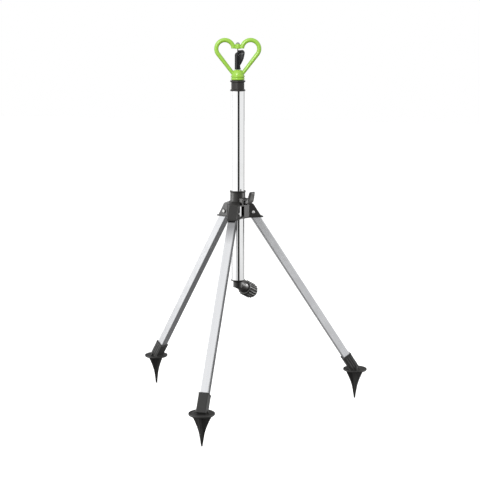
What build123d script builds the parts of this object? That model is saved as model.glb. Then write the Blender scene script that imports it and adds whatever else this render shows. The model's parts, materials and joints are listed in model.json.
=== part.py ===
from build123d import *
import os
from math import cos, radians, sin, tan

# Garden sprinkler on a folding tripod. Lengths in millimetres, angles in degrees.
# The riser stands on the Z axis and the three spike tips stand on z = 0.
# An azimuth is counted from the front leg, which points along -Y, towards +X.

# Tripod
leg_azimuths = {"front": 0, "right": 120, "left": 240}
leg_slant = 33.3             # leg from the vertical, opened
leg_reach = 390.0            # leg pivot to the middle of the foot disc
leg_side = 15.0              # square tube
leg_wall = 1.2
pivot_radius = 28.0          # leg pivot from the riser axis
disc_height = 59.0           # middle of the foot disc
disc_radius = 23.7
disc_thickness = 3.0
pivot_height = disc_height + leg_reach * cos(radians(leg_slant))

# Riser and its sleeve
riser_radius = 12.5
riser_wall = 1.0
riser_bottom = 254.0
riser_top = 613.8
running_gap = 0.1            # radial play of the riser in its sleeve
pivot_gap = 0.05             # radial play on every small pin

# Tripod head
head_bottom = pivot_height - 10.3
head_plate_top = 400.0
head_wall = 1.4
sleeve_radius = 14.25
sleeve_top = 426.0
fork_gap = leg_side / 2 + 0.3      # half of the space between two cheeks
fork_half = fork_gap + head_wall
fork_back = 20.1                   # outside of the wall behind each leg top
lip_thickness = 1.8
lip_overhang = 2.6
lip_reach = 48.8
slit_width = 10.8            # opening in the skirt beside the clamp lever

# Leg pivots
rivet_radius = 2.25
rivet_head_radius = 3.6
washer_radius = 3.9
washer_thickness = 1.0

# Clamp lever
lever_azimuth = 60
lever_radius = 19.5
lever_height = 408.5
lever_half = 5.7
lever_thickness = 4.6
lever_paddle_half = 6.8      # widest part of the lever, beyond its lugs
lever_tip_half = 3.6
lever_tip = (38.8, 424.4)    # radius and height of the end of the lever
lever_pin_radius = 1.5
lug_wall = 2.2
cam_radius = 3.9
cam_offset = 0.8

# Green frame, rotor and top adapter
face_azimuth = 15.2          # the flat of the heart faces this way
lobe_centre = 24.0
lobe_height = 692.0
lobe_radius = 16.0
rod_radius = 3.8
arm_slant = 37.7
hub_radius = 4.75
hub_bottom = 691.8
hub_top = 701.0
base_bottom = 634.4
base_top = 653.0
dome_inside = base_top - 3.8 # the arms are trimmed inside the dome below this height
adapter_top = 633.4
spindle_radius = 1.0
cap_radius = 4.2
rotor_bottom = 654.3
rotor_radius = 5.6           # upright column of the rotor
notch_height = 661.4         # where the rotor's wing leaves the column
wing_half = 2.0
scoop_radius = 4.4
stem_radius = 9.0            # green stem inside the adapter

# Inlet elbow and hose nut
outlet_azimuth = 168.0
outlet_droop = 22.5
elbow_height = 245.5
elbow_radius = 8.8
collar_radius = 10.2
waterway_radius = 5.5
nut_start = 37.3             # along the outlet from the middle of the elbow
nut_length = 26.0
nut_skirt = 8.0              # reach of the nut's thin skirt back over the elbow's collar
nut_radius = 14.2
nut_ribs = 18
rib_radius = 1.3
thread_radius = 9.316        # minor radius of a G 1/2 inside thread
neck_radius = 7.2


def around(azimuth, shape):
    """Turn a shape drawn along +X to an azimuth."""
    return Rot(0, 0, azimuth - 90) * shape


def along_leg(shape):
    """Place a shape drawn on the leg's own axis, with the pivot as its origin."""
    return Pos(pivot_radius, 0, pivot_height) * Rot(0, -leg_slant, 0) * shape


def wall_radius(offset, height):
    """Radius of a line parallel to the opened leg, offset outwards from its axis."""
    slant = radians(leg_slant)
    return pivot_radius + offset / cos(slant) + (pivot_height - height) * tan(slant)


def upright_plate(points, half_width, corner=0, corner_index=0):
    """Plate drawn in the radial plane, centred on it, with one corner rounded."""
    outline = make_face(Polyline(*points, close=True))
    if corner:
        vertex = outline.vertices().sort_by_distance(points[corner_index])[0]
        outline = fillet(vertex, corner)
    return extrude(Plane.XZ * outline, half_width, both=True)


def turned_body(points):
    """Body turned about Z from an outline of (radius, height) points."""
    return revolve(Plane.XZ * make_face(Polyline(*points, close=True)), Axis.Z)


def cross_pin(radius, length, x=0, z=0):
    """Round bar across the radial plane."""
    return Pos(x, 0, z) * Rot(90, 0, 0) * Cylinder(radius, length)


def ring(inner, outer, bottom, top):
    """Plain flat ring about Z."""
    height = top - bottom
    return Pos(0, 0, (bottom + top) / 2) * (Cylinder(outer, height) - Cylinder(inner, 2 * height))


# ---- legs ----
fin_half = 1.3               # half thickness of a spike's fins
tip_radius = 1.2
bead_radius = 1.5            # raised rim of the foot disc
shoulder = 9.0               # leg tube starts this far below the pivot
socket_length = 37.0
socket_half = 9.3
tube_end = leg_reach - 9.0
plug_depth = 16.0


def leg_tube():
    length = tube_end - shoulder
    hollow = leg_side - 2 * leg_wall
    outside = extrude(RectangleRounded(leg_side, leg_side, 1.2), -length)
    inside = extrude(RectangleRounded(hollow, hollow, 0.4), -length)
    return along_leg(Pos(0, 0, -shoulder) * (outside - inside))


def leg_plug():
    head = cross_pin(leg_side / 2, leg_side)
    block = Pos(0, 0, -shoulder / 2) * Box(leg_side, leg_side, shoulder)
    stem_side = leg_side - 2 * leg_wall - 0.3
    stem = Pos(0, 0, -shoulder - plug_depth / 2) * Box(stem_side, stem_side, plug_depth)
    body = head + block + stem
    return along_leg(body - cross_pin(rivet_radius + pivot_gap, 2 * leg_side))


def spike_outline():
    """Half outline of the spike's fins, from the disc down to the blunt tip."""
    root = (19.6, disc_height - 1.2)
    tip = (tip_radius, 0)
    curve = Spline(root, (12.4, 43), (7.0, 30.5), (4.1, 18), (3.0, 9), tip)
    sides = Polyline(tip, (0, 0), (0, root[1]), root)
    return make_face([curve, sides])


def foot_spike():
    outline = spike_outline()
    fin = extrude(Plane.XZ * outline, fin_half, both=True)
    spike = fin + Rot(0, 0, 180) * fin + Rot(0, 0, 90) * fin + Rot(0, 0, 270) * fin
    core = turned_body([(0, 0), (tip_radius, 0), (2.4, 16), (6.5, disc_height - 1), (0, disc_height - 1)])
    disc = Pos(0, 0, disc_height) * Cylinder(disc_radius, disc_thickness)
    disc = fillet(disc.edges().filter_by(GeomType.CIRCLE), 1.2)
    bead_height = disc_height + disc_thickness / 2 - 0.4
    bead = Pos(0, 0, bead_height) * Torus(disc_radius - bead_radius - 0.2, bead_radius)
    gusset = upright_plate([(-14, 1), (14, 1), (5, 11), (-9, 11)], 1.1)
    gusset = Pos(0, 0, disc_height) * Rot(0, 0, 90) * gusset
    slant = radians(leg_slant)
    foot_radius = pivot_radius + leg_reach * sin(slant)
    foot = Pos(foot_radius, 0, 0) * (spike + core + disc + bead + gusset)
    return foot + foot_socket() - socket_hollow()


def foot_socket():
    side = 2 * socket_half
    body = Pos(0, 0, -leg_reach + socket_length) * extrude(
        RectangleRounded(side, side, 1.6), -socket_length - 10)
    rim = Pos(0, 0, -leg_reach + socket_length) * extrude(
        RectangleRounded(side + 1, side + 1, 2), -1.8)
    above_disc = Pos(250, 0, disc_height + 50) * Box(200, 200, 100)
    return along_leg(body + rim) & above_disc


def socket_hollow():
    return along_leg(Pos(0, 0, -tube_end) * extrude(Rectangle(leg_side, leg_side), 60))


# ---- tripod head ----
def head_corners(offset):
    """Six corners of the skirt between the forks, moved outwards by an offset."""
    corners = []
    for azimuth in leg_azimuths.values():
        for side in (-1, 1):
            x = fork_back + offset
            y = side * (fork_half + 0.58 * offset)
            turn = radians(azimuth - 90)
            corners.append((x * cos(turn) - y * sin(turn), x * sin(turn) + y * cos(turn)))
    return corners


def skirt(offset, bottom, top):
    outline = make_face(Polyline(*head_corners(offset), close=True))
    return Pos(0, 0, bottom) * extrude(outline, top - bottom)


def fork():
    roof_root = 406.5
    corner_height = 401.0
    bottom = head_bottom
    wall = leg_side / 2 + 0.4 + head_wall
    inside_back = fork_back - head_wall
    points = [
        (inside_back, bottom),
        (inside_back, head_plate_top - 1),
        (riser_radius + 0.6, head_plate_top - 1),
        (riser_radius + 0.6, roof_root),
        (wall_radius(wall, corner_height), corner_height),
        (wall_radius(wall, bottom), bottom),
    ]
    body = upright_plate(points, fork_half, 2.4, 4)
    crown = body.edges().filter_by(lambda edge: edge.center().X > 16 and edge.center().Z > bottom + 2)
    crown = crown.filter_by(lambda edge: abs(edge.center().Y) > fork_half - 0.01)
    return fillet(crown, 1.2)


def fork_hollow():
    wall = leg_side / 2 + 0.4
    bottom = head_bottom - 5
    points = [
        (fork_back, bottom),
        (fork_back, 402.4),
        (wall_radius(wall, 399.6), 399.6),
        (wall_radius(wall, bottom), bottom),
    ]
    return upright_plate(points, fork_gap, 1.4, 2)


def fork_lip():
    length = lip_reach - riser_radius
    width = 2 * (fork_half + lip_overhang)
    plate = Pos(riser_radius + length / 2, 0, 0) * RectangleRounded(length, width, 5.6)
    return Pos(0, 0, head_bottom) * extrude(plate, lip_thickness)


def sleeve():
    inner = riser_radius + running_gap
    return turned_body([
        (inner, head_plate_top - 2),
        (sleeve_radius + 0.35, head_plate_top - 2),
        (sleeve_radius, sleeve_top - 3.4),
        (sleeve_radius + 1.0, sleeve_top - 1.6),
        (sleeve_radius + 1.0, sleeve_top - 0.4),
        (sleeve_radius + 0.6, sleeve_top),
        (inner + 0.5, sleeve_top),
        (inner, sleeve_top - 0.6),
    ])


def clamp_lug():
    reach = lever_radius - riser_radius
    arm = Pos(riser_radius + reach / 2, 0, lever_height) * Box(reach, lug_wall, 8.6)
    foot = Pos(riser_radius + reach / 2, 0, lever_height - 5) * Box(reach, lug_wall, 8)
    return arm + foot + cross_pin(4.3, lug_wall, lever_radius, lever_height)


def tripod_head():
    body = skirt(0, head_bottom, head_plate_top) + sleeve()
    body += skirt(lip_overhang, head_bottom, head_bottom + lip_thickness)
    for azimuth in leg_azimuths.values():
        body += around(azimuth, fork() + fork_lip())
    lug_middle = lever_half + 0.2 + lug_wall / 2
    for side in (-1, 1):
        body += around(lever_azimuth, Pos(0, side * lug_middle, 0) * clamp_lug())
    body -= skirt(-head_wall, head_bottom - 1, head_plate_top - 2)
    for azimuth in leg_azimuths.values():
        body -= around(azimuth, fork_hollow())
        body -= around(azimuth, cross_pin(rivet_radius, 60, pivot_radius, pivot_height))
    bore_length = sleeve_top - head_bottom + 10
    body -= Pos(0, 0, (head_bottom + sleeve_top) / 2) * Cylinder(riser_radius + running_gap, bore_length)
    pad_window = Pos(14, 0, lever_height) * Box(6, 9.2, 8.2)
    slit_height = head_plate_top - 2 - head_bottom - lip_thickness
    slit_middle = head_bottom + lip_thickness + slit_height / 2
    slit = Pos(18, -6.2, slit_middle) * Box(6, slit_width, slit_height)
    pin_hole = cross_pin(lever_pin_radius, 40, lever_radius, lever_height)
    return body - around(lever_azimuth, pad_window + slit + pin_hole)


def pivot_rivets():
    half = fork_half
    head = Pos(pivot_radius, -half, pivot_height) * Rot(90, 0, 0) * (
        Sphere(rivet_head_radius + 0.9) & Pos(0, 0, 5 + 2.4) * Box(20, 20, 10))
    head = Pos(0, 2.4, 0) * head
    tail = Pos(pivot_radius, half + washer_thickness + 0.7, pivot_height) * Rot(90, 0, 0) * Cylinder(
        rivet_head_radius - 0.4, 1.4)
    shank = cross_pin(rivet_radius, 2 * half + 2.2, pivot_radius, pivot_height)
    rivet = head + Pos(0, 0.9, 0) * shank + tail
    return [around(azimuth, rivet) for azimuth in leg_azimuths.values()]


def pivot_washers():
    washer = Cylinder(washer_radius, washer_thickness) - Cylinder(rivet_radius, 2)
    placed = Pos(pivot_radius, fork_half + washer_thickness / 2, pivot_height) * Rot(90, 0, 0) * washer
    return [around(azimuth, placed) for azimuth in leg_azimuths.values()]


# ---- clamp lever ----
def clamp_lever():
    tip_radius, tip_height = lever_tip
    path = FilletPolyline(
        (lever_radius, lever_height),
        (27.5, 405.2),
        (34.3, 409.6),
        lever_tip,
        radius=5,
    )
    end = tip_radius + lever_thickness
    plan = Polyline(
        (lever_radius - 2, lever_half),
        (24.5, lever_half),
        (28.0, lever_paddle_half),
        (34.5, lever_paddle_half),
        (end, lever_tip_half),
        (end, -lever_tip_half),
        (34.5, -lever_paddle_half),
        (28.0, -lever_paddle_half),
        (24.5, -lever_half),
        (lever_radius - 2, -lever_half),
        close=True,
    )
    strap = extrude(Plane.XZ * trace(path, lever_thickness), lever_paddle_half, both=True)
    strap += cross_pin(lever_thickness / 2, 2 * lever_paddle_half, tip_radius, tip_height)
    strap &= Pos(0, 0, lever_height - 20) * extrude(make_face(plan), 50)
    hub = cross_pin(cam_radius, 2 * lever_half, lever_radius - cam_offset, lever_height)
    lever = strap + hub
    return around(lever_azimuth, lever - cross_pin(
        lever_pin_radius + pivot_gap, 40, lever_radius, lever_height))


def lever_pin():
    half = lever_half + 0.2 + lug_wall
    shank = cross_pin(lever_pin_radius, 2 * half)
    heads = Pos(0, half + 0.5, 0) * cross_pin(2.5, 1.0) + Pos(0, -half - 0.5, 0) * cross_pin(2.5, 1.0)
    return around(lever_azimuth, Pos(lever_radius, 0, lever_height) * (shank + heads))


def clamp_pad():
    back = lever_radius - cam_offset - cam_radius - 0.2
    block = Pos(back / 2, 0, lever_height) * Box(back, 9.0, 8.0)
    return around(lever_azimuth, block - Pos(0, 0, lever_height) * Cylinder(riser_radius + 0.15, 20))


# ---- riser and top adapter ----
spigot_length = 16.0
seal_height = 2.4
seal_depth = 1.6


def riser_tube():
    return ring(riser_radius - riser_wall, riser_radius, riser_bottom, riser_top)


def top_adapter():
    flange = 14.2
    body = 12.2
    spigot = riser_radius - riser_wall
    foot = riser_top - spigot_length
    outside = turned_body([
        (0, foot), (spigot - 0.6, foot), (spigot, foot + 0.6), (spigot, riser_top),
        (flange, riser_top), (flange, riser_top + 2.4), (body, riser_top + 3.6),
        (body, adapter_top - 3.4), (flange, adapter_top - 2.6), (flange, adapter_top - 0.4),
        (flange - 0.4, adapter_top), (0, adapter_top),
    ])
    socket = ring(0, stem_radius, adapter_top - 12.4, adapter_top + 1)
    return outside - socket - ring(0, 7.5, foot - 1, adapter_top) - seal_groove(foot + 5)


def seal_groove(bottom):
    outer = riser_radius - riser_wall
    return ring(outer - seal_depth, outer + 1, bottom, bottom + seal_height)


def seal(bottom):
    outer = riser_radius - riser_wall
    body = ring(outer - seal_depth, outer, bottom, bottom + seal_height)
    return fillet(body.edges().filter_by(GeomType.CIRCLE), 0.7)


# ---- green frame ----
def facing(shape):
    """Turn a shape drawn in the XZ plane to face as the heart does."""
    return Rot(0, 0, face_azimuth) * shape


def heart_half():
    slant = radians(arm_slant)
    touch = (lobe_centre + lobe_radius * cos(slant), lobe_height - lobe_radius * sin(slant))
    foot_height = 643.0
    foot = (touch[0] - (touch[1] - foot_height) * tan(slant), foot_height)
    length = (touch[1] - foot_height) / cos(slant)
    arm = Pos(foot[0], 0, foot[1]) * Rot(0, arm_slant, 0) * Pos(0, 0, length / 2) * Cone(
        rod_radius - 0.7, rod_radius, length)
    section = Pos(lobe_radius, 0, 0) * Circle(rod_radius)
    lobe = revolve(Plane.XZ * section, Axis.Z, 180 + arm_slant - 14)
    lobe = Rot(90, 0, 0) * (Rot(0, 0, -arm_slant) * lobe)
    lobe = Pos(lobe_centre, 0, lobe_height) * lobe
    bridge = Pos(4, 0, hub_bottom + 4) * Box(8, 4.4, 5)
    return arm + lobe + bridge


def frame_base():
    bottom = base_bottom
    dome = make_face([
        Polyline((6.6, bottom - 13), (stem_radius, bottom - 13), (stem_radius, bottom),
                 (11.3, bottom), (11.5, bottom + 1.2), (13.0, bottom + 2.6),
                 (13.0, bottom + 5.6), (12.2, bottom + 7.0)),
        ThreePointArc((12.2, bottom + 7.0), (10.2, bottom + 14.0), (6.8, base_top)),
        Polyline((6.8, base_top), (4.6, base_top), (4.6, base_top - 4), (6.6, base_top - 6),
                 (6.6, bottom - 13)),
    ])
    return revolve(Plane.XZ * dome, Axis.Z)


def sprinkler_frame():
    half = heart_half()
    hub_height = hub_top - hub_bottom
    hub = Pos(0, 0, hub_bottom + hub_height / 2) * Cylinder(hub_radius, hub_height)
    hub = fillet(hub.edges().filter_by(GeomType.CIRCLE), 0.8)
    heart = half + mirror(half, Plane.YZ) + hub
    heart -= Pos(0, 0, hub_bottom - 10) * Box(28, 12, 20)
    heart -= Pos(0, 0, dome_inside / 2) * Cylinder(6.7, dome_inside)
    heart -= Pos(0, 0, hub_top) * Cylinder(spindle_radius, 40)
    return facing(heart + frame_base() - ring(0, 4.6, base_bottom, base_top + 1))


def nozzle():
    bottom = base_bottom - 2
    shoulder_height = base_top - 6
    return turned_body([
        (4.5, bottom), (6.5, bottom), (6.5, shoulder_height), (4.5, base_top - 4),
        (4.5, base_top - 0.3), (3.9, base_top + 0.5), (1.4, base_top + 0.5),
        (1.4, base_top - 5), (4.5, base_top - 10),
    ])


def rotor_spindle():
    return ring(0, spindle_radius, 660, hub_top + 1)


def spindle_cap():
    dome = Pos(0, 0, hub_top - 1.2) * Sphere(cap_radius) & Pos(0, 0, hub_top + 5) * Box(20, 20, 10)
    return dome - ring(0, spindle_radius, hub_top - 1, hub_top + 1)


# ---- rotor ----
def rotor():
    bottom = rotor_bottom
    column = Pos(0, 0, bottom + 19) * Cylinder(rotor_radius, 38)
    column &= upright_plate([(-6, bottom), (6, bottom), (6, 687.2), (-6, 681.2)], 6)
    groove = Pos(1.0, -4.6, bottom + 20) * Box(2.6, 5, 60)
    wing_outline = make_face([
        Polyline((0, 687), (0, notch_height + 0.6), (4.6, notch_height)),
        Spline((4.6, notch_height), (9.2, 669.5), (12.3, 677.5), (12.4, 685.0), (9.4, 689.2)),
        Polyline((9.4, 689.2), (6.4, 689.0), (0, 687)),
    ])
    wing = extrude(Plane.XZ * wing_outline, wing_half, both=True)
    foot = upright_plate([(0, bottom), (7.2, bottom), (7.0, bottom + 3.2), (4.4, notch_height),
                          (0, notch_height)], wing_half + 0.6)
    scoop = Pos(6.4, -1.6, 684.6) * Rot(90, 0, 0) * Cylinder(scoop_radius, 6.4)
    scoop -= Pos(5.6, -4.0, 684.0) * Rot(90, 0, 0) * Cylinder(scoop_radius - 1.2, 6.4)
    body = column - groove + wing + foot + scoop
    return facing(body - ring(0, spindle_radius + pivot_gap, 659.5, 700))


# ---- inlet elbow and hose nut ----
def outlet_plane():
    droop = radians(outlet_droop)
    azimuth = radians(outlet_azimuth)
    direction = (cos(droop) * sin(azimuth), -cos(droop) * cos(azimuth), -sin(droop))
    sideways = (cos(azimuth), sin(azimuth), 0)
    return Plane(origin=(0, 0, elbow_height), x_dir=sideways, z_dir=direction)


def on_outlet(shape):
    return outlet_plane().location * shape


def inlet_elbow():
    spigot = riser_radius - riser_wall
    flange = 13.6
    top = riser_bottom + spigot_length
    upright = turned_body([
        (0, elbow_height), (elbow_radius, elbow_height), (elbow_radius, riser_bottom - 4.0),
        (flange - 2.2, riser_bottom - 2.4), (flange, riser_bottom - 1.2),
        (flange, riser_bottom), (spigot, riser_bottom), (spigot, top - 0.6),
        (spigot - 0.6, top), (0, top),
    ])
    corner = Pos(0, 0, elbow_height) * Sphere(elbow_radius)
    lower = Pos(0, 0, elbow_height - 3) * Cylinder(elbow_radius, 6)
    neck_end = nut_start + 4.7
    arm = turned_body([
        (0, 0), (elbow_radius, 0), (elbow_radius, 20), (collar_radius, 24), (collar_radius, nut_start - 1.4),
        (9.4, nut_start - 0.6), (neck_radius, nut_start - 0.6), (neck_radius, neck_end),
        (9.0, neck_end), (9.0, neck_end + 2.2), (0, neck_end + 2.2),
    ])
    body = upright + corner + lower + on_outlet(arm)
    body -= ring(0, waterway_radius, elbow_height, top + 1)
    body -= Pos(0, 0, elbow_height) * Sphere(waterway_radius)
    body -= on_outlet(ring(0, waterway_radius, 0, neck_end + 5))
    return body - seal_groove(riser_bottom + 8)


def hose_nut():
    end = nut_start + nut_length
    rear = nut_start - nut_skirt
    chamber_end = nut_start + 9.3
    bore = collar_radius + 0.5
    shell = turned_body([
        (neck_radius + pivot_gap + 0.03, nut_start), (bore, nut_start), (bore, rear), (nut_radius - 1.3, rear),
        (nut_radius, rear + 1.6), (nut_radius, end - 0.8), (nut_radius - 0.8, end), (thread_radius + 0.8, end),
        (thread_radius, end - 0.8), (thread_radius, chamber_end), (9.7, chamber_end),
        (9.7, nut_start + 4.4), (neck_radius + pivot_gap + 0.03, nut_start + 4.4),
    ])
    rib_length = nut_length + nut_skirt - 5.0
    rib = Pos(nut_radius - 0.3, 0, rear + 2.8 + rib_length / 2) * Cylinder(rib_radius, rib_length)
    for number in range(nut_ribs):
        keep = Rot(0, 0, 360 * number / nut_ribs) * rib
        shell += keep - ring(0, thread_radius + 2, rear, end)
    return on_outlet(shell)


def inlet_washer():
    start = nut_start + 7.0
    return on_outlet(ring(waterway_radius, 9.1, start, start + 2.1))


nodes = {
    "tripod_head": tripod_head(),
    "clamp_lever": clamp_lever(),
    "lever_pin": lever_pin(),
    "clamp_pad": clamp_pad(),
    "pivot_rivets": Compound(children=pivot_rivets()),
    "pivot_washers": Compound(children=pivot_washers()),
    "riser_tube": riser_tube(),
    "top_adapter": top_adapter(),
    "adapter_seal": seal(riser_top - spigot_length + 5),
    "sprinkler_frame": sprinkler_frame(),
    "frame_gasket": ring(stem_radius, 11.4, adapter_top, base_bottom),
    "nozzle": nozzle(),
    "rotor": rotor(),
    "rotor_spindle": rotor_spindle(),
    "spindle_cap": spindle_cap(),
    "inlet_elbow": inlet_elbow(),
    "elbow_seal": seal(riser_bottom + 8),
    "hose_nut": hose_nut(),
    "inlet_washer": inlet_washer(),
}
for side, azimuth in leg_azimuths.items():
    nodes[side + "_leg_tube"] = around(azimuth, leg_tube())
    nodes[side + "_leg_plug"] = around(azimuth, leg_plug())
    nodes[side + "_foot_spike"] = around(azimuth, foot_spike())

os.makedirs("parts", exist_ok=True)
for name, shape in nodes.items():
    export_step(shape, "parts/" + name + ".step")
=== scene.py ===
import json
from math import cos, pi, radians, sin, tan

import bpy
import bmesh
from mathutils import Matrix, Vector

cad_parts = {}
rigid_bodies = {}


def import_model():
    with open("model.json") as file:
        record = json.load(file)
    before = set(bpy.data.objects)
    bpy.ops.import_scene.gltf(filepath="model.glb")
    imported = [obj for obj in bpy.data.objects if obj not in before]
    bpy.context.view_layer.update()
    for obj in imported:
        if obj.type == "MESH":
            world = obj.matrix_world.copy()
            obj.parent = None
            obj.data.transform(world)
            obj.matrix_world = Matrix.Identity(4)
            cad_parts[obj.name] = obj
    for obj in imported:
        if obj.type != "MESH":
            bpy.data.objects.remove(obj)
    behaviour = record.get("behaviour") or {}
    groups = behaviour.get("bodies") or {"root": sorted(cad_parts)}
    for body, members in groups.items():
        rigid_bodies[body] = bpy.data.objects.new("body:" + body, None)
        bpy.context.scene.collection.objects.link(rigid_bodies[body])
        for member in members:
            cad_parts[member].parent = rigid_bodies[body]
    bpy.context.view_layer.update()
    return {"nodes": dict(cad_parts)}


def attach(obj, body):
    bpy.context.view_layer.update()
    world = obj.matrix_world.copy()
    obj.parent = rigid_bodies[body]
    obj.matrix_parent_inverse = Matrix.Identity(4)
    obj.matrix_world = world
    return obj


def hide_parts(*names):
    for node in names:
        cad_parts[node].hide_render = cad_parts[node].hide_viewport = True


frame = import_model()
nodes = frame["nodes"]
print("frame loaded:", len(nodes), "nodes")

scene = bpy.context.scene

# studio
studio = {
    "cameraSpot": (0.590, -2.172, 0.693),
    "cameraPitch": 9.14,         # degrees below the horizon
    "cameraTurn": 15.09,
    "cameraLens": 89.4,
    "cameraSensor": 36.0,
    "cameraClip": (0.05, 60.0),
    "leftWall": 1.30,            # brightness of the room's sides, as the object sees them
    "rightWall": 0.88,
    "darkAzimuth": 183.0,        # the unlit part of the room, behind the object
    "backWall": 0.16,
    "ground": 0.20,
    "floorTone": (0.86, 0.86, 0.86),
    "floorGlow": 0.32,           # keeps the floor white where no lamp reaches it
    "floorReach": 9.0,
    "softBoxes": {               # what it lights, azimuth, distance, height, width, tall, power
        "leftBox": ("lowerPlastics", -75.0, 2.1, 0.72, 0.9, 1.4, 42.0),
        "rightBox": ("lowerPlastics", 108.0, 2.2, 0.72, 0.8, 1.4, 34.0),
        "nutBox": ("hoseFittings", 128.0, 1.0, 0.48, 0.3, 0.6, 22.0),
        "topBox": ("sprinklerTop", -5.0, 1.9, 1.35, 0.7, 0.7, 26.0),
    },
    "aimHeight": {"lowerPlastics": 0.42, "hoseFittings": 0.24, "sprinklerTop": 0.66},
    "blackCards": ((31.0, 30.0), (152.0, 8.0), (265.0, 8.0)),    # azimuth, width in degrees
    "cardDistance": 1.1,
    "cardHeights": (-1.0, 0.9),
}


def makeCamera():
    data = bpy.data.cameras.new("studioCamera")
    data.lens = studio["cameraLens"]
    data.sensor_width = studio["cameraSensor"]
    data.clip_start, data.clip_end = studio["cameraClip"]
    camera = bpy.data.objects.new("studioCamera", data)
    camera.location = studio["cameraSpot"]
    camera.rotation_euler = (radians(90 - studio["cameraPitch"]), 0.0,
                             radians(studio["cameraTurn"]))
    scene.collection.objects.link(camera)
    scene.camera = camera


makeCamera()
scene.view_settings.view_transform = "Standard"
print("camera placed")


# shader kit
class Wire:
    # one output socket; arithmetic on it adds Math nodes
    def __init__(self, finish, socket):
        self.finish = finish
        self.socket = socket

    def maths(self, operation, left, right):
        return self.finish.add("ShaderNodeMath", {"operation": operation}, {0: left, 1: right})

    def __add__(self, other):
        return self.maths("ADD", self, other)

    def __radd__(self, other):
        return self.maths("ADD", other, self)

    def __sub__(self, other):
        return self.maths("SUBTRACT", self, other)

    def __rsub__(self, other):
        return self.maths("SUBTRACT", other, self)

    def __mul__(self, other):
        return self.maths("MULTIPLY", self, other)

    def __rmul__(self, other):
        return self.maths("MULTIPLY", other, self)

    def __truediv__(self, other):
        return self.maths("DIVIDE", self, other)

    def __rtruediv__(self, other):
        return self.maths("DIVIDE", other, self)


class NodeSheet:
    # adds nodes to one tree
    def __init__(self, tree):
        self.tree = tree

    def add(self, kind, settings=None, sockets=None, take=0):
        node = self.tree.nodes.new(kind)
        for name, value in (settings or {}).items():
            if name == "stops":
                ramp = node.color_ramp
                while len(ramp.elements) < len(value):
                    ramp.elements.new(0.5)
                for element, (position, tone) in zip(ramp.elements, value):
                    element.position = position
                    element.color = (tone, tone, tone, 1.0)
            else:
                setattr(node, name, value)
        for name, value in (sockets or {}).items():
            self.feed(node.inputs[name], value)
        return Wire(self, node.outputs[take]) if node.outputs else node

    def feed(self, socket, value):
        if isinstance(value, Wire):
            self.tree.links.new(value.socket, socket)
        elif socket.type == "RGBA":
            socket.default_value = (*value[:3], 1.0)
        else:
            socket.default_value = value

    def along(self, vector, direction):
        return self.add("ShaderNodeVectorMath", {"operation": "DOT_PRODUCT"},
                        {0: vector, 1: direction}, take=1)

    def ramp(self, value, stops):
        return self.add("ShaderNodeValToRGB", {"stops": stops}, {0: value})

    def blendTone(self, factor, first, second):
        return self.add("ShaderNodeMix", {"data_type": "RGBA"},
                        {0: factor, 6: first, 7: second}, take=2)


class Finish(NodeSheet):
    # a material with one Principled shader
    def __init__(self, name, **fixed):
        self.material = bpy.data.materials.new(name)
        self.material.use_nodes = True
        super().__init__(self.material.node_tree)
        self.tree.nodes.clear()
        self.shader = self.tree.nodes.new("ShaderNodeBsdfPrincipled")
        output = self.tree.nodes.new("ShaderNodeOutputMaterial")
        self.tree.links.new(self.shader.outputs[0], output.inputs["Surface"])
        self.set(**fixed)
        self.place = self.add("ShaderNodeTexCoord", take=3)

    def noise(self, scale, detail=3.0, roughness=0.55, place=None):
        return self.add("ShaderNodeTexNoise", {"noise_dimensions": "3D"},
                        {"Vector": place or self.place, "Scale": scale, "Detail": detail,
                         "Roughness": roughness})

    def bevelled(self, radius):
        return self.add("ShaderNodeBevel", {"samples": 6}, {"Radius": radius})

    def bump(self, height, distance, strength=1.0, normal=None):
        sockets = {"Height": height, "Distance": distance, "Strength": strength}
        if normal:
            sockets["Normal"] = normal
        return self.add("ShaderNodeBump", {}, sockets)

    def edgeMask(self, rounded, gain):
        # 0 on flats, towards 1 on outside corners and inside corners
        flat = self.add("ShaderNodeNewGeometry", take=1)
        agree = self.along(rounded, flat)
        return self.add("ShaderNodeMath", {"operation": "MULTIPLY", "use_clamp": True},
                        {0: 1.0 - agree, 1: gain})

    def stretch(self, directions, scales):
        # coordinates measured along three directions, each with its own scale
        parts = [self.along(self.place, direction) * scale
                 for direction, scale in zip(directions, scales)]
        return self.add("ShaderNodeCombineXYZ", {}, dict(enumerate(parts)))

    def set(self, **values):
        for socket, value in values.items():
            self.feed(self.shader.inputs[socket.replace("_", " ")], value)


# room
def makeRoom():
    world = bpy.data.worlds.new("softRoom")
    scene.world = world
    world.use_nodes = True
    world.node_tree.nodes.clear()
    sheet = NodeSheet(world.node_tree)
    look = sheet.add("ShaderNodeTexCoord", take=0)
    turn = radians(studio["cameraTurn"])

    left = sheet.along(look, (-cos(turn), -sin(turn), 0.0))
    dark = radians(studio["darkAzimuth"])
    back = sheet.along(look, (sin(dark), -cos(dark), 0.0))
    up = sheet.along(look, (0.0, 0.0, 1.0))
    sides = sheet.ramp(left, [(0.1, 0.0), (0.8, 1.0)]) * (studio["leftWall"] - studio["rightWall"])
    sides = sides + studio["rightWall"]
    rear = sheet.ramp(back, [(0.78, 0.0), (0.90, 1.0)])
    high = sheet.ramp(up * 0.5 + 0.5, [(0.20, 0.0), (0.38, 1.0)])
    low = 1.0 - high
    wall = sides * (1.0 - rear) + rear * studio["backWall"]
    tone = wall * high + low * studio["ground"]
    grey = sheet.add("ShaderNodeCombineColor", {}, {0: tone, 1: tone, 2: tone})
    room = sheet.add("ShaderNodeBackground", {}, {"Color": grey, "Strength": 1.0})
    seen = sheet.add("ShaderNodeBackground", {}, {"Color": (1.0, 1.0, 1.0), "Strength": 1.0})
    direct = sheet.add("ShaderNodeLightPath", take=0)
    both = sheet.add("ShaderNodeMixShader", {}, {0: direct, 1: room, 2: seen})
    sheet.add("ShaderNodeOutputWorld", {}, {"Surface": both})


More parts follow.
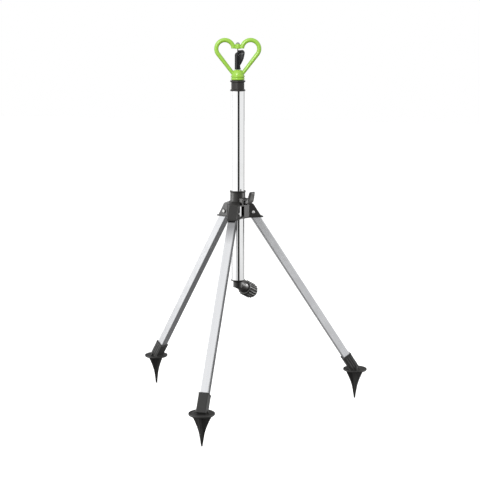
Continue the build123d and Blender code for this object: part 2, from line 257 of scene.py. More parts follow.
def makeFloor():
    finish = Finish("paleFloor", Roughness=0.9, Emission_Color=(1.0, 1.0, 1.0),
                    Emission_Strength=studio["floorGlow"])
    grain = finish.noise(9.0, 2.0)
    dusty = tuple(0.98 * tone for tone in studio["floorTone"])
    finish.set(Base_Color=finish.blendTone(grain, studio["floorTone"], dusty))
    mesh = bpy.data.meshes.new("floorSheet")
    reach = studio["floorReach"]
    corners = [(-reach, -reach, 0), (reach, -reach, 0), (reach, reach, 0), (-reach, reach, 0)]
    mesh.from_pydata(corners, [], [(0, 1, 2, 3)])
    mesh.materials.append(finish.material)
    floor = bpy.data.objects.new("floorSheet", mesh)
    floor.visible_glossy = False
    floor.visible_diffuse = False
    scene.collection.objects.link(floor)


def makeLamp(name, lights, azimuth, distance, height, width, tall, power):
    data = bpy.data.lights.new(name, "AREA")
    data.shape = "RECTANGLE"
    data.size, data.size_y = width, tall
    data.energy = power
    lamp = bpy.data.objects.new(name, data)
    angle = radians(azimuth)
    lamp.location = (distance * sin(angle), -distance * cos(angle), height)
    aim = Vector((0, 0, studio["aimHeight"][lights])) - lamp.location
    lamp.rotation_euler = aim.to_track_quat("-Z", "Y").to_euler()
    scene.collection.objects.link(lamp)
    lamp.light_linking.receiver_collection = lampGroups[lights]


def makeCard(name, azimuth, width):
    # black card that only reflections see
    distance = studio["cardDistance"]
    low, high = studio["cardHeights"]
    finish = Finish(name, Base_Color=(0.004, 0.004, 0.004), Roughness=0.9, Specular_IOR_Level=0.0)
    half = radians(width) / 2
    corners = []
    for edge, height in ((-half, low), (half, low), (half, high), (-half, high)):
        angle = radians(azimuth) + edge
        corners.append((distance * sin(angle), -distance * cos(angle), height))
    mesh = bpy.data.meshes.new(name)
    mesh.from_pydata(corners, [], [(0, 1, 2, 3)])
    mesh.materials.append(finish.material)
    card = bpy.data.objects.new(name, mesh)
    card.visible_camera = False
    card.visible_diffuse = False
    card.visible_shadow = False
    scene.collection.objects.link(card)


lampGroups = {group: bpy.data.collections.new(group) for group in studio["aimHeight"]}
makeRoom()
makeFloor()
for lampName, lampPlace in studio["softBoxes"].items():
    makeLamp(lampName, *lampPlace)
for cardAzimuth, cardWidth in studio["blackCards"]:
    makeCard("blackCard%d" % cardAzimuth, cardAzimuth, cardWidth)
print("room, floor and lamps ready")


# the hose nut's measures in millimetres and degrees, which its finish needs too
hoseNut = {
    "azimuth": 168.0,            # way the inlet points, and how far it droops
    "droop": 22.5,
    "elbowHeight": 245.5,
    "start": 37.3,               # inner shoulder, along the outlet from the elbow's middle
    "length": 26.0,              # from that shoulder to the mouth
    "skirt": 8.0,                # reach of the thin skirt back over the elbow
    "skirtBore": 10.75,
    "radius": 13.6,
    "ribs": 18,
    "ribHeight": 1.6,
    "ribInsets": (2.2, 1.6),     # where the ribs stop short of the rear and the mouth
    "seatBore": 7.3,
    "seatThickness": 4.4,
    "threadInsets": (9.6, 0.9),
    "threadRelief": 9.6,         # radius beyond the thread at both ends
    "mouthRadius": 10.2,
    "threadRadius": 9.32,
    "threadDepth": 0.85,
    "threadPitch": 1.814,
}


def outletMatrix(p):
    azimuth, droop = radians(p["azimuth"]), radians(p["droop"])
    ahead = Vector((cos(droop) * sin(azimuth), -cos(droop) * cos(azimuth), -sin(droop)))
    side = Vector((cos(azimuth), sin(azimuth), 0))
    matrix = Matrix((side, ahead.cross(side), ahead)).transposed().to_4x4()
    matrix.translation = (0, 0, p["elbowHeight"] * 0.001)
    return matrix


# finishes
upright = ((1, 0, 0), (0, 1, 0), (0, 0, 1))

# slot: name, tone, roughness, depth of grain
mouldedLooks = {
    "head_plastic": ("charcoalPlastic", (0.020, 0.019, 0.018), 0.40, 0.00003),
    "fitting_plastic": ("fittingPlastic", (0.014, 0.013, 0.012), 0.38, 0.00003),
    "rotor_plastic": ("rotorPlastic", (0.006, 0.0065, 0.008), 0.24, 0.000008),
    "nozzle_plastic": ("nozzlePlastic", (0.006, 0.006, 0.006), 0.40, 0.00003),
    "adapter_plastic": ("adapterPlastic", (0.018, 0.016, 0.015), 0.42, 0.00003),
    "cap_grey": ("capGrey", (0.32, 0.35, 0.30), 0.34, 0.00003),
}


def scaledTone(tone, factor):
    return tuple(factor * part for part in tone)


def mouldedPlastic(name, tone, roughness, grain):
    # flow lines run upwards through the mottle, and edges and corners are a little lighter, part
    # edge wear and part painted highlight
    finish = Finish(name, Specular_IOR_Level=0.42)
    flow = finish.noise(1.0, 3.0, place=finish.stretch(upright, (340.0, 340.0, 22.0)))
    mottle = finish.noise(60.0, 4.0) * 0.5 + flow * 0.5
    fine = finish.noise(2600.0, 2.0)
    rounded = finish.bevelled(0.0004)
    patchy = finish.ramp(finish.noise(210.0, 3.0), [(0.35, 0.25), (0.7, 1.0)])
    # edges and corners painted pale: part edge wear, part painted highlight
    edgeWearAndHighlight = finish.edgeMask(rounded, 2.2) * patchy
    pale = tuple(min(1.0, 1.5 * part + 0.01) for part in tone)
    body = finish.blendTone(mottle, scaledTone(tone, 0.55), scaledTone(tone, 1.45))
    scuff = finish.ramp(finish.noise(34.0, 5.0, 0.7), [(0.45, 0.0), (0.75, 1.0)])
    finish.set(
        Base_Color=finish.blendTone(edgeWearAndHighlight, body, pale),
        Roughness=scuff * 0.12 + (roughness - 0.03) + fine * 0.06,
        Normal=finish.bump(fine + mottle * 0.4, grain, 0.7, rounded),
    )
    return finish.material


def footPlastic():
    # the spikes are darker than the sockets above the discs
    finish = Finish("footPlastic", Specular_IOR_Level=0.34)
    height = finish.add("ShaderNodeSeparateXYZ", {}, {0: finish.place}, take=2)
    above = finish.ramp(height * 10.0, [(0.575, 0.0), (0.615, 1.0)])
    mottle = finish.noise(70.0, 4.0)
    fine = finish.noise(2300.0, 2.0)
    rounded = finish.bevelled(0.0006)
    # edges and corners painted lighter grey: part edge wear, part painted highlight
    edgeWearAndHighlight = finish.edgeMask(rounded, 2.2) * finish.ramp(mottle, [(0.35, 0.3), (0.65, 1.0)])
    body = finish.blendTone(above, (0.0045, 0.004, 0.0035), (0.026, 0.026, 0.025))
    finish.set(
        Base_Color=finish.blendTone(edgeWearAndHighlight * 0.8 + mottle * 0.15, body, (0.075, 0.073, 0.070)),
        Roughness=mottle * 0.12 + 0.42 + fine * 0.06,
        Normal=finish.bump(fine + mottle * 0.4, 0.00003, 0.7, rounded),
    )
    return finish.material


def nutPlastic(p):
    # black, with painted highlights: the crests of the ribs and the rear rim are painted grey
    finish = Finish("nutPlastic", Specular_IOR_Level=0.36)
    matrix = outletMatrix(p)
    reach = finish.add("ShaderNodeVectorMath", {"operation": "SUBTRACT"},
                       {0: finish.place, 1: matrix.translation})
    ahead = matrix.col[2].to_3d()
    along = finish.along(reach, ahead)
    aside = finish.add("ShaderNodeVectorMath", {"operation": "CROSS_PRODUCT"}, {0: reach, 1: ahead})
    radius = finish.add("ShaderNodeVectorMath", {"operation": "LENGTH"}, {0: aside}, take=1)
    grown = (radius * 1000.0 - p["radius"]) / p["ribHeight"]
    # painted highlight: grey on the rib crests and on the rear rim
    crestHighlight = finish.ramp(grown, [(0.80, 0.0), (0.98, 1.0)])
    rim = finish.ramp(along * 1000.0 - (p["start"] - p["skirt"]), [(0.5, 0.55), (1.0, 0.0)])
    mottle = finish.noise(130.0, 4.0)
    fine = finish.noise(2400.0, 2.0)
    paintedShading = (crestHighlight + rim) * finish.ramp(mottle, [(0.3, 0.55), (0.6, 1.0)])
    finish.set(
        Base_Color=finish.blendTone(paintedShading, (0.004, 0.004, 0.004), (0.20, 0.198, 0.192)),
        Roughness=mottle * 0.12 + 0.22 + fine * 0.05,
        Normal=finish.bump(fine, 0.00001, 0.6, finish.bevelled(0.0004)),
    )
    return finish.material


leverAzimuth = 60                # way the clamp lever hangs out from the riser


def leverPlastic():
    # the face turned outward and down is painted grey as a painted highlight, the rest is black
    finish = Finish("leverPlastic", Specular_IOR_Level=0.42)
    azimuth = radians(leverAzimuth)
    away = (0.78 * sin(azimuth), -0.78 * cos(azimuth), -0.62)
    outward = finish.along(finish.add("ShaderNodeTexCoord", take=1), away)
    patchy = finish.ramp(finish.noise(420.0, 4.0, 0.7), [(0.35, 0.3), (0.6, 1.0)])
    # painted highlight: faces turned outward and down are painted grey
    paintedShading = finish.ramp(outward, [(0.35, 0.0), (0.75, 1.0)]) * patchy
    fine = finish.noise(2400.0, 2.0)
    finish.set(
        Base_Color=finish.blendTone(paintedShading, (0.009, 0.009, 0.009), (0.15, 0.148, 0.143)),
        Roughness=paintedShading * 0.2 + 0.32 + fine * 0.06,
        Normal=finish.bump(fine + paintedShading * 0.5, 0.00003, 0.7, finish.bevelled(0.0004)),
    )
    return finish.material


def blackSteel():
    # pins and washers with a black oxide skin
    finish = Finish("blackSteel")
    skin = finish.noise(300.0, 4.0)
    finish.set(
        Metallic=skin * 0.2 + 0.5,
        Base_Color=finish.blendTone(skin, (0.02, 0.02, 0.02), (0.07, 0.068, 0.064)),
        Roughness=skin * 0.2 + 0.34,
        Normal=finish.bump(skin, 0.00001, 0.6, finish.bevelled(0.0003)),
    )
    return finish.material


def limePlastic():
    tone = (0.27, 0.50, 0.043)
    finish = Finish("limePlastic", Specular_IOR_Level=0.5, Subsurface_Weight=0.06,
                    Subsurface_Scale=0.003, Coat_Roughness=0.12)
    flow = finish.noise(46.0, 4.0, 0.6)
    fine = finish.noise(1700.0, 2.0)
    rounded = finish.bevelled(0.0005)
    # edges and corners painted pale green: part edge wear, part painted highlight
    edgeWearAndHighlight = finish.edgeMask(rounded, 2.0)
    body = finish.blendTone(flow, scaledTone(tone, 0.9), scaledTone(tone, 1.08))
    finish.set(
        Base_Color=finish.blendTone(edgeWearAndHighlight, body, (0.40, 0.66, 0.13)),
        Roughness=flow * 0.12 + 0.24 + fine * 0.04,
        Normal=finish.bump(fine + flow * 0.6, 0.000008, 0.6, rounded),
        Coat_Weight=0.25,
    )
    return finish.material


def riserChrome():
    finish = Finish("riserChrome")
    drawn = finish.noise(1.0, 3.0, place=finish.stretch(upright, (260.0, 260.0, 9.0)))
    smudge = finish.ramp(finish.noise(26.0, 4.0, 0.65), [(0.5, 0.0), (0.8, 1.0)])
    finish.set(
        Metallic=1.0,
        Base_Color=finish.blendTone(smudge, (0.94, 0.945, 0.95), (0.88, 0.885, 0.885)),
        Roughness=smudge * 0.04 + drawn * 0.02 + 0.025,
        Normal=finish.bump(drawn, 0.000004, 0.5),
    )
    return finish.material


legSlant = 33.3                  # degrees the legs lean from the upright
legAzimuths = {"front": 0, "right": 120, "left": 240}
# how dark the painted hood shade makes each leg's upper end
legHoodShadeDepth = {"front": 0.75, "right": 0.05, "left": 0.1}


def legAluminium(side, paintedShading):
    # drawn lines run down the leg; the upper end under the hood is painted dark as painted shade of
    # the hood, and the second argument sets how dark
    slant = radians(legSlant)
    turn = radians(legAzimuths[side])
    outward = Vector((sin(turn), -cos(turn), 0.0))
    down = outward * sin(slant) + Vector((0, 0, -cos(slant)))
    across = Vector((cos(turn), sin(turn), 0.0))
    face = down.cross(across)
    finish = Finish("legAluminium_" + side)
    drawn = (across, face, down)
    lines = finish.noise(1.0, 3.0, 0.6, finish.stretch(drawn, (1500.0, 1500.0, 14.0)))
    wide = finish.noise(1.0, 2.0, 0.5, finish.stretch(drawn, (260.0, 260.0, 5.0)))
    smudge = finish.ramp(finish.noise(38.0, 4.0, 0.65), [(0.42, 0.0), (0.74, 1.0)])
    rounded = finish.bevelled(0.0006)
    belowHood = finish.along(finish.place, down) + 0.276        # metres down from the hood's lip
    # painted shade: the upper end of the leg, just under the hood, is painted dark
    paintedHoodShade = finish.ramp(belowHood * 20.0 + wide * 0.3, [(0.15, paintedShading), (0.85, 0.0)])
    body = finish.blendTone(lines * 0.6 + wide * 0.4, (0.66, 0.67, 0.69), (0.84, 0.845, 0.86))
    finish.set(
        Metallic=1.0,
        Base_Color=finish.blendTone(paintedHoodShade, body, (0.16, 0.16, 0.165)),
        Roughness=smudge * 0.08 + lines * 0.12 + 0.20,
        Normal=finish.bump(lines + wide * 0.5, 0.00002, 0.6, rounded),
    )
    return finish.material


def brightSteel():
    finish = Finish("brightSteel")
    brushed = finish.noise(900.0, 3.0)
    stain = finish.ramp(finish.noise(160.0, 3.0), [(0.45, 0.0), (0.8, 1.0)])
    finish.set(
        Metallic=1.0,
        Base_Color=finish.blendTone(stain, (0.86, 0.86, 0.85), (0.62, 0.61, 0.59)),
        Roughness=brushed * 0.12 + 0.16,
        Normal=finish.bump(brushed, 0.00001, 0.6, finish.bevelled(0.0003)),
    )
    return finish.material


def wetSteel():
    # the thin spindle, darkened by water
    finish = Finish("wetSteel")
    stain = finish.noise(240.0, 3.0)
    finish.set(
        Metallic=0.8,
        Base_Color=finish.blendTone(stain, (0.03, 0.03, 0.03), (0.12, 0.115, 0.11)),
        Roughness=stain * 0.25 + 0.3,
    )
    return finish.material


def sealRubber():
    finish = Finish("sealRubber", Specular_IOR_Level=0.4)
    grain = finish.noise(1500.0, 3.0)
    bloom = finish.noise(70.0, 3.0)
    finish.set(
        Base_Color=finish.blendTone(bloom, (0.012, 0.012, 0.012), (0.035, 0.034, 0.033)),
        Roughness=grain * 0.2 + 0.6,
        Normal=finish.bump(grain, 0.00004, 0.7, finish.bevelled(0.0003)),
    )
    return finish.material


finishes = {slot: mouldedPlastic(*look) for slot, look in mouldedLooks.items()}
finishes["lever_plastic"] = leverPlastic()
finishes["foot_plastic"] = footPlastic()
finishes["nut_plastic"] = nutPlastic(hoseNut)
finishes["green_plastic"] = limePlastic()
finishes["riser_chrome"] = riserChrome()
finishes["pin_steel"] = brightSteel()
finishes["seal_rubber"] = sealRubber()
ownFinishes = {                  # nodes that look unlike the rest of their slot
    "rotor_spindle": wetSteel(),
    "lever_pin": blackSteel(),
    "top_adapter": finishes.pop("adapter_plastic"),
}
ownFinishes["pivot_washers"] = ownFinishes["lever_pin"]
for legSide, paintedShading in legHoodShadeDepth.items():
    ownFinishes[legSide + "_leg_tube"] = legAluminium(legSide, paintedShading)


def dress(name, part):
    # the frame's own material carries the name of its slot
    slot = part.data.materials[0].name.split(".")[0]
    finish = ownFinishes[name] if name in ownFinishes else finishes[slot]
    part.data.materials.clear()
    part.data.materials.append(finish)


for name, part in nodes.items():
    dress(name, part)
print("finishes laid on the frame's nodes")


# mesh kit
# outlines and paths below are in millimetres and become metres in makeMesh
def makeMesh(name, rings, loop=False):
    # skin over rings of equal point count; loop closes the last ring onto the first
    count = len(rings[0])
    points = [Vector(point) * 0.001 for ring in rings for point in ring]
    faces = []
    for index in range(len(rings) if loop else len(rings) - 1):
        here = index * count
        there = (index + 1) % len(rings) * count
        for step in range(count):
            nextStep = (step + 1) % count
            faces.append((here + step, here + nextStep, there + nextStep, there + step))
    if not loop:
        faces.append(tuple(reversed(range(count))))
        faces.append(tuple(range(len(points) - count, len(points))))
    mesh = bpy.data.meshes.new(name)
    mesh.from_pydata(points, [], faces)
    cleanMesh(mesh)
    return mesh


def cleanMesh(mesh):
    work = bmesh.new()
    work.from_mesh(mesh)
    bmesh.ops.remove_doubles(work, verts=work.verts, dist=1e-7)
    bmesh.ops.dissolve_degenerate(work, edges=work.edges, dist=1e-8)
    bmesh.ops.recalc_face_normals(work, faces=work.faces)
    work.to_mesh(mesh)
    work.free()


def softened(outline, setback, steps=4):
    # rounds every corner of a closed flat outline
    result = []
    for index, corner in enumerate(outline):
        corner = Vector(corner)
        before = Vector(outline[index - 1]) - corner
        after = Vector(outline[(index + 1) % len(outline)]) - corner
        start = corner + before.normalized() * min(setback, 0.45 * before.length)
        end = corner + after.normalized() * min(setback, 0.45 * after.length)
        for step in range(steps + 1):
            t = step / steps
            result.append(start * (1 - t) ** 2 + corner * 2 * t * (1 - t) + end * t ** 2)
    return result


def turned(name, outline, steps, bulge=None):
    # turns a closed (radius, height) outline about Z
    # bulge(angle, radius, height) gives a new radius
    rings = []
    for step in range(steps):
        angle = 2 * pi * step / steps
        ring = []
        for radius, height in outline:
            if bulge:
                radius = bulge(angle, radius, height)
            ring.append((radius * cos(angle), radius * sin(angle), height))
        rings.append(ring)
    return makeMesh(name, rings, loop=True)


def swept(name, path, radii, segments=28):
    # round rod along a path in 3-D, with a radius at each point of the path
    path = [Vector(point) for point in path]
    rings = []
    side = None
    for index, point in enumerate(path):
        ahead = path[min(index + 1, len(path) - 1)] - path[max(index - 1, 0)]
        ahead.normalize()
        if side is None:
            side = ahead.orthogonal()
        side = (side - ahead * side.dot(ahead)).normalized()
        other = ahead.cross(side)
        angles = [2 * pi * k / segments for k in range(segments)]
        rings.append([point + (side * cos(angle) + other * sin(angle)) * radii[index]
                      for angle in angles])
    return makeMesh(name, rings)


def joined(name, meshes):
    work = bmesh.new()
    for mesh in meshes:
        work.from_mesh(mesh)
    whole = bpy.data.meshes.new(name)
    work.to_mesh(whole)
    work.free()
    return whole


def applied(obj, changes):
    # puts modifiers on, bakes them into the mesh and takes them off again
    for kind, settings in changes:
        modifier = obj.modifiers.new(kind.lower(), kind)
        for key, value in settings.items():
            setattr(modifier, key, value)
    bpy.context.view_layer.update()
    changed = obj.evaluated_get(bpy.context.evaluated_depsgraph_get())
    result = bpy.data.meshes.new_from_object(changed)
    obj.modifiers.clear()
    obj.data = result


def showObject(name, mesh):
    obj = bpy.data.objects.new(name, mesh)
    scene.collection.objects.link(obj)
    return obj


def fused(name, meshes, p, cutters=()):
    # one moulded skin out of overlapping closed shells
    remesh = ("REMESH", {"mode": "VOXEL", "voxel_size": p["voxel"] * 0.001})
    obj = showObject(name, joined(name, meshes))
    applied(obj, [remesh])
    for cutter in cutters:
        tool = showObject("cutter", cutter)
        applied(obj, [("BOOLEAN", {"object": tool, "operation": "DIFFERENCE", "solver": "EXACT"})])
        bpy.data.objects.remove(tool)
    if cutters:
        applied(obj, [remesh])
    applied(obj, [("SMOOTH", {"factor": 0.5, "iterations": p["smoothing"]})])
    return obj


def settle(obj, body, slot, finish, *stoodFor, sharp=38):
    # shading, finish, and the place of a finished piece in the frame
    obj.data.shade_smooth()
    obj.data.set_sharp_from_angle(angle=radians(sharp))
    obj.data.materials.clear()
    obj.data.materials.append(finish)
    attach(obj, body)
    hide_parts(*stoodFor)


# riser pipe
riserPipe = {"radius": 12.5, "wall": 1.0, "bottom": 254.0, "top": 613.8, "roll": 0.45, "steps": 180}


def makeRiser(p):
    inner = p["radius"] - p["wall"]
    outline = softened([(inner, p["bottom"]), (p["radius"], p["bottom"]),
                        (p["radius"], p["top"]), (inner, p["top"])], p["roll"])
    pipe = showObject("riserPipe", turned("riserPipe", outline, p["steps"]))
    settle(pipe, "riser", "riser_chrome", finishes["riser_chrome"], "riser_tube", sharp=60)


makeRiser(riserPipe)
print("riser pipe done")

# green heart frame
limeHeart = {
    "facing": 15.2,              # degrees the heart is turned about the riser
    "lobeCentre": (24.0, 692.0),
    "lobeRadius": 16.0,
    "armSlant": 37.7,
    "lobeRod": 4.05,             # rod radius round the lobes
    "footRod": 3.4,              # and where the arms meet the base
    "footHeight": 643.8,
    "lobeEnd": 178,              # the rod curls this far round, towards the hub
    "hubRadius": 4.9,
    "hubBottom": 691.8,
    "hubTop": 701.0,
    "base": (                    # radius, height
        (9.0, 621.4), (9.0, 634.4), (12.2, 634.4), (12.7, 635.4), (12.7, 637.6), (11.6, 638.2),
        (11.6, 639.2), (13.0, 639.8), (13.0, 642.2), (11.0, 643.2), (10.9, 644.6), (10.5, 646.8),
        (9.6, 649.2), (8.2, 651.4), (6.6, 653.0), (4.6, 653.0), (4.6, 649.0), (6.6, 647.0),
        (6.6, 621.4)),
    "voxel": 0.36,
    "smoothing": 5,
}


def heartRod(p, side):
    slant = radians(p["armSlant"])
    across, height = p["lobeCentre"]
    touchX = across + p["lobeRadius"] * cos(slant)
    touchZ = height - p["lobeRadius"] * sin(slant)
    path, radii = [], []
    for step in range(17):
        rise = p["footHeight"] + (touchZ - p["footHeight"]) * step / 16
        path.append((side * (touchX - (touchZ - rise) * tan(slant)), 0, rise))
        radii.append(p["footRod"] + (p["lobeRod"] - p["footRod"]) * step / 16)
    for step in range(1, 49):
        angle = -slant + (radians(p["lobeEnd"]) + slant) * step / 48
        path.append((side * (across + p["lobeRadius"] * cos(angle)), 0,
                     height + p["lobeRadius"] * sin(angle)))
        radii.append(p["lobeRod"])
    return swept("heartRod", path, radii)


def makeHeart(p):
    base = softened(p["base"], 0.45, 3)
    middle = (p["hubBottom"] + p["hubTop"]) / 2
    hub = softened([
        (1.1, p["hubBottom"]), (p["hubRadius"], p["hubBottom"]),
        (p["hubRadius"], p["hubTop"] - 1.4), (4.1, p["hubTop"]), (1.1, p["hubTop"])], 0.6, 3)
    bridge = swept("bridge", [(-8, 0, middle - 1.2), (8, 0, middle - 1.2)], [2.8, 2.8])
    parts = [heartRod(p, 1), heartRod(p, -1), bridge,
             turned("hub", hub, 64), turned("base", base, 160)]
    heart = fused("limeHeart", parts, p)
    heart.data.transform(Matrix.Rotation(radians(p["facing"]), 4, "Z"))
    settle(heart, "riser", "green_plastic", finishes["green_plastic"], "sprinkler_frame", sharp=60)


makeHeart(limeHeart)
print("green heart done")

# spinning vane
spinVane = {
    "bottom": 653.8,
    "columnWide": 5.7,           # half width and half depth of the upright column
    "columnDeep": 4.8,
    "columnRoof": (681.4, 688.4),        # height at the left edge and the most it rises to
    "roofSlope": 0.66,
    "columnFoot": (4.6, 2.4),    # reach on the right, and how much the foot adds to it
    "blade": (                   # height, width
        (661.2, 4.6), (665.0, 7.0), (669.5, 9.3), (674.0, 11.2), (678.0, 12.2), (682.0, 12.5),
        (685.5, 12.3), (688.0, 11.2), (689.4, 9.0)),
    "rim": (
        (-4.6, -1.0, 682.0), (-1.5, -1.4, 684.4), (2.0, -1.6, 686.8), (6.0, -1.8, 688.6),
        (9.2, -2.2, 688.9), (11.3, -2.9, 687.0), (12.0, -3.4, 683.6), (11.6, -3.3, 680.0)),
    "rimRadii": (1.25, 1.25, 1.25, 1.25, 1.25, 1.25, 1.25, 0.8),
    "slot": ((0.8, -3.3, 650.0), (0.8, -3.3, 664.0), (0.8, -3.3, 679.0)),
    "slotRadii": (1.45, 1.45, 1.45),
    "groove": (                  # the water's way up the column and out along the blade
        (1.0, -4.4, 650.0), (1.0, -4.4, 664.0), (1.0, -4.2, 676.0), (1.6, -3.8, 680.5),
        (3.8, -3.5, 683.2), (6.8, -3.8, 684.2), (9.4, -4.5, 684.0), (14.0, -6.0, 683.6)),
    "grooveRadii": (1.75, 1.75, 1.75, 1.75, 1.8, 2.1, 2.3, 2.5),
    "bore": ((0, 0, 650.0), (0, 0, 700.0)),
    "boreRadii": (1.12, 1.12),
    "voxel": 0.26,
    "smoothing": 3,
}


def columnShell(p):
    edge, crown = p["columnRoof"]
    plain, flare = p["columnFoot"]

    def roof(x):
        return min(edge + (x + p["columnWide"]) * p["roofSlope"], crown)

    rings = []
    for step in range(25):
        t = step / 24
        ring = []
        for k in range(48):
            angle = 2 * pi * k / 48
            x = p["columnWide"] * abs(cos(angle)) ** 0.8 * (1 if cos(angle) > 0 else -1)
            y = p["columnDeep"] * abs(sin(angle)) ** 0.8 * (1 if sin(angle) > 0 else -1)
            x = min(x, plain + flare * max(0.0, 1 - 9 * t))
            ring.append((x, y, p["bottom"] + t * (roof(x) - p["bottom"])))
        rings.append(ring)
    return makeMesh("column", rings)


def bladeShell(p):
    # widens as it rises and curls forward at its free edge
    rings = []
    for height, width in p["blade"]:
        ring = []
        for k in range(36):
            angle = 2 * pi * k / 36
            x = width / 2 * (1 + cos(angle))
            thick = 2.3 - 1.0 * (x / 12.5) ** 2
            curl = -3.4 * (x / 12.5) ** 2.4
            ring.append((x, 0.4 + curl + thick * sin(angle), height))
        rings.append(ring)
    return makeMesh("blade", rings)


def makeVane(p):
    rim = swept("rim", p["rim"], p["rimRadii"], 20)
    slot = swept("slot", p["slot"], p["slotRadii"], 24)
    groove = swept("groove", p["groove"], p["grooveRadii"], 24)
    bore = swept("bore", p["bore"], p["boreRadii"], 32)
    vane = fused("spinVane", [columnShell(p), bladeShell(p), rim], p, (groove, slot, bore))
    vane.data.transform(Matrix.Rotation(radians(limeHeart["facing"]), 4, "Z"))
    settle(vane, "rotor", "rotor_plastic", finishes["rotor_plastic"], "rotor", sharp=50)


makeVane(spinVane)
print("vane done")

# hose nut
def makeNut(p):
    start, end = p["start"], p["start"] + p["length"]
    rear = start - p["skirt"]
    ribStart, ribEnd = rear + p["ribInsets"][0], end - p["ribInsets"][1]
    threadStart, threadEnd = start + p["threadInsets"][0], end - p["threadInsets"][1]

    def bulge(angle, radius, height):
        if radius > p["radius"] - 0.05:
            grown = min(1.0, max(0.0, (height - ribStart) / 1.2))
            window = grown * min(1.0, max(0.0, (ribEnd - height) / 1.2))
            ridge = max(0.0, cos(p["ribs"] * angle)) ** 0.8
            return radius + p["ribHeight"] * ridge * window ** 0.5
        if abs(radius - p["threadRadius"]) < 0.01 and threadStart < height < threadEnd:
            turn = (height / p["threadPitch"] - angle / (2 * pi)) % 1.0
            fade = min(1.0, (height - threadStart) / 1.0, (threadEnd - height) / 1.0)
            return radius + p["threadDepth"] * fade * (0.5 - 0.5 * cos(2 * pi * turn))
        return radius

    outline = [Vector(point) for point in (
        (p["seatBore"], start), (p["skirtBore"], start), (p["skirtBore"], rear + 0.3), (11.0, rear),
        (12.3, rear), (12.9, rear + 0.25), (13.3, rear + 0.8), (13.5, rear + 1.3))]
    rows = int((end - 1.0 - rear - 1.5) / 0.5)
    outline += [Vector((p["radius"], rear + 1.5 + (end - 2.5 - rear) * k / rows))
                for k in range(rows + 1)]
    outline += [Vector((p["radius"] - 0.4, end - 0.4)), Vector((p["radius"] - 1.0, end)),
                Vector((p["mouthRadius"], end)), Vector((p["threadRelief"], end - 0.4))]
    rows = int((threadEnd - threadStart) / 0.2)
    outline += [Vector((p["threadRadius"], threadEnd - (threadEnd - threadStart) * k / rows))
                for k in range(rows + 1)]
    seat = start + p["seatThickness"]
    outline += [Vector((p["threadRelief"], threadStart - 0.4)), Vector((p["threadRelief"], seat)),
                Vector((p["seatBore"], seat))]
    nut = showObject("hoseNut", turned("hoseNut", outline, p["ribs"] * 14, bulge))
    nut.data.transform(outletMatrix(p))
    settle(nut, "hose_nut", "nut_plastic", finishes["nut_plastic"], "hose_nut", sharp=32)


makeNut(hoseNut)
print("hose nut done")

# foot spikes
footSpike = {
    "footRadius": 242.12,        # spike axis from the riser axis
    "discHeight": 59.0,
    "socketSide": 9.3,
    "socketTop": 37.0,           # how far the socket reaches up the leg from the disc
    "disc": (                    # radius, height over the disc's middle
        (0.01, -1.3), (16.0, -1.5), (22.2, -1.5), (23.7, -0.2), (23.7, 1.9),
        (23.0, 2.5), (21.8, 2.4), (21.2, 1.2), (0.01, 1.2)),
    "core": ((0.01, 0.4), (1.6, 0.4), (2.2, 16.0), (4.0, 36.0), (6.6, 58.0), (0.01, 58.0)),
    "fin": (                     # height, half width
        (57.8, 19.4), (52.0, 16.6), (46.0, 13.6), (40.0, 10.9), (34.0, 8.5), (28.0, 6.5),
        (22.0, 5.0), (16.0, 4.0), (10.0, 3.2), (5.0, 2.4), (1.2, 1.6), (0.0, 1.0)),
    "gusset": ((0.4, 17.0), (4.0, 13.2), (10.5, 9.4)),      # height over the disc, reach
    "ribSpacing": 4.6,
    "hollow": (7.55, 9.0, 60.0),         # half width, bottom and top of the leg's pocket
    "voxel": 0.55,
    "smoothing": 2,
}


def finShell(p, turn):
    # thin blade on the spike axis, thick at the core and thinner at its edge
    rings = []
    for height, half in p["fin"]:
        core = min(1.9, half)
        edge = 0.85 if half > 2.4 else 0.6
        outline = [(-half, -edge), (-core, -1.7), (core, -1.7), (half, -edge),
                   (half, edge), (core, 1.7), (-core, 1.7), (-half, edge)]
        if half < 3.3:
            outline = [(x * 0.9, y * half / 3.3) for x, y in outline]
        rings.append([(x * cos(turn) - y * sin(turn), x * sin(turn) + y * cos(turn), height)
                      for x, y in outline])
    return makeMesh("fin", rings)


def boxShell(half, low, high, corner=1.6):
    outline = softened([(-half, -half), (half, -half), (half, half), (-half, half)], corner)
    return [[(x, y, height) for x, y in outline] for height in (low, high)]


def upLeg(p, name, rings):
    # a shape drawn about the leg's axis, with the disc's middle as its origin
    lean = Matrix.Rotation(radians(-legSlant), 4, "Y")
    lift = Vector((0, 0, p["discHeight"]))
    return makeMesh(name, [[lean @ Vector(point) + lift for point in ring] for ring in rings])


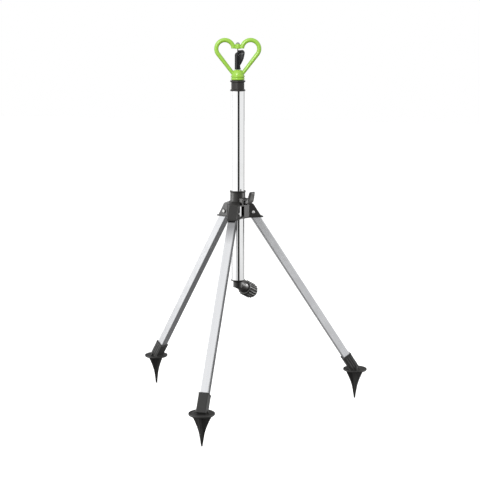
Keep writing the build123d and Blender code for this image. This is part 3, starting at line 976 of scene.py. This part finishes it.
def makeFoot(p, side, azimuth):
    top = p["socketTop"]
    disc = softened([(radius, p["discHeight"] + height) for radius, height in p["disc"]], 0.5, 2)
    shells = [turned("disc", disc, 120), turned("core", p["core"], 40),
              finShell(p, 0), finShell(p, pi / 2),
              upLeg(p, "sleeve", boxShell(p["socketSide"], 0.0, top)),
              upLeg(p, "rim", boxShell(p["socketSide"] + 0.55, top - 2.0, top, 1.9))]
    for number in (-1, 0, 1):    # ribs down both side walls of the socket
        for wall in (-1, 1):
            middle = wall * (p["socketSide"] - 0.2)
            outline = [(number * p["ribSpacing"] + x, middle + y) for x, y in
                       ((-0.7, -0.8), (0.7, -0.8), (0.7, 0.8), (-0.7, 0.8))]
            shells.append(upLeg(p, "rib", [[(x, y, height) for x, y in outline]
                                           for height in (2.0, top - 4)]))
    for wall in (-1, 1):         # gussets from the disc to the socket
        gusset = []
        for height, reach in p["gusset"]:
            outline = ((-1.0, 8.0), (1.0, 8.0), (1.0, reach), (-1.0, reach))
            gusset.append([(x, wall * y, p["discHeight"] + height) for x, y in outline])
        shells.append(makeMesh("gusset", gusset))
    hollow = upLeg(p, "hollow", boxShell(*p["hollow"], corner=0.4))
    foot = fused(side + "FootSpike", shells, p, (hollow,))
    foot.data.transform(Matrix.Translation((p["footRadius"] * 0.001, 0, 0)))
    foot.data.transform(Matrix.Rotation(radians(azimuth - 90), 4, "Z"))
    settle(foot, side + "_leg", "foot_plastic", finishes["foot_plastic"],
           side + "_foot_spike", sharp=50)


for legSide, legAzimuth in legAzimuths.items():
    makeFoot(footSpike, legSide, legAzimuth)
print("foot spikes done")

# rivets
pivotRivet = {
    "pivotRadius": 28.0,
    "pivotHeight": 384.96,
    "headRadius": 3.25,
    "shank": 2.2,
    "cheek": 9.2,                # half the width across the pivot's cheeks
}


def makeRivets(p):
    half = p["cheek"]
    outline = softened([
        (0.01, -half - 1.7), (1.5, -half - 1.6), (2.6, -half - 1.1),
        (p["headRadius"], -half - 0.4), (p["headRadius"], -half), (p["shank"], -half),
        (p["shank"], half + 1.0), (3.2, half + 1.0), (3.2, half + 1.8), (2.4, half + 2.3),
        (1.2, half + 2.3), (0.9, half + 1.9), (0.01, half + 1.8)], 0.25, 3)
    shells = []
    for azimuth in legAzimuths.values():
        rivet = turned("rivet", outline, 48)
        rivet.transform(Matrix.Rotation(radians(-90), 4, "X"))
        rivet.transform(Matrix.Translation((p["pivotRadius"] * 0.001, 0, p["pivotHeight"] * 0.001)))
        rivet.transform(Matrix.Rotation(radians(azimuth - 90), 4, "Z"))
        shells.append(rivet)
    rivets = showObject("pivotRivets", joined("pivotRivets", shells))
    settle(rivets, "tripod_head", "pin_steel", finishes["pin_steel"], "pivot_rivets", sharp=50)


makeRivets(pivotRivet)
print("rivets done")

# which lamps light which finish; the bare metals are lit by the room alone
finishGroups = {
    "riserChrome": (),
    "legAluminium": (),
    "brightSteel": (),
    "limePlastic": ("sprinklerTop",),
    "rotorPlastic": ("sprinklerTop",),
    "adapterPlastic": ("sprinklerTop",),
    "nutPlastic": ("lowerPlastics", "hoseFittings"),
    "fittingPlastic": ("lowerPlastics", "hoseFittings"),
}
for part in scene.objects:
    if part.type == "MESH" and part.data.materials:
        finishName = part.data.materials[0].name.split("_")[0]
        for group in finishGroups.get(finishName, ("lowerPlastics",)):
            lampGroups[group].objects.link(part)
print("lamps linked to the finishes")
